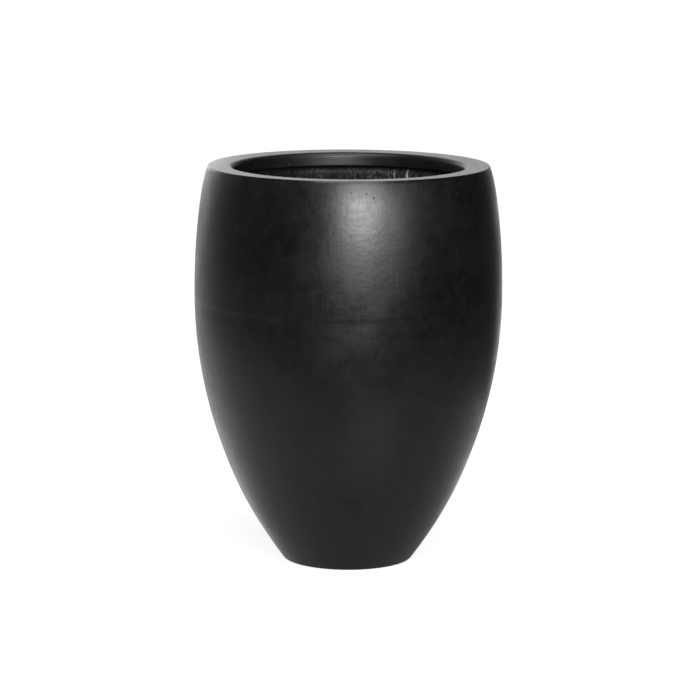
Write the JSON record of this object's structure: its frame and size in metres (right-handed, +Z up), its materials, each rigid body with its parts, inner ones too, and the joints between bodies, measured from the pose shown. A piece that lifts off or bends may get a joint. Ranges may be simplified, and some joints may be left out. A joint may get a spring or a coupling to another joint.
{
  "type": "floor planter",
  "caption": "Egg-shaped matt black floor planter with a flat rim, an inward lip, a fibre-lined inside and a drain hole with a lift-out rubber plug.",
  "frame": {"origin": "centre of the foot's underside, on the plane that the pot stands on", "axes": "+Z up along the pot's axis of symmetry; -Y is the side that the picture shows"},
  "size_m": [0.4639, 0.464, 0.5999],
  "materials": {
    "stone_resin": "satin matt black, sealed stone powder and resin",
    "cast_base": "matt, cast stone powder and resin",
    "glass_fibre": "rough hand-laid glass fibre in black resin",
    "fibre_tape": "glass-fibre tape in black resin",
    "core_filler": "matt resin filler, hidden",
    "plug_rubber": "matt moulded rubber"
  },
  "bodies": {
    "pot": {"lower_shell": "stone_resin", "upper_shell": "stone_resin", "rim_ring": "stone_resin", "rim_core": "core_filler", "upper_laminate": "glass_fibre", "lower_laminate": "glass_fibre", "seam_tape": "fibre_tape", "base_plate": "cast_base", "floor_laminate": "glass_fibre"},
    "plug": {"drain_plug": "plug_rubber"}
  },
  "joints": [
    {"name": "plug_lift", "type": "slide", "parent": "pot", "child": "plug", "axis": [0, 0, 1], "range_m": [0, 0.62]}
  ]
}
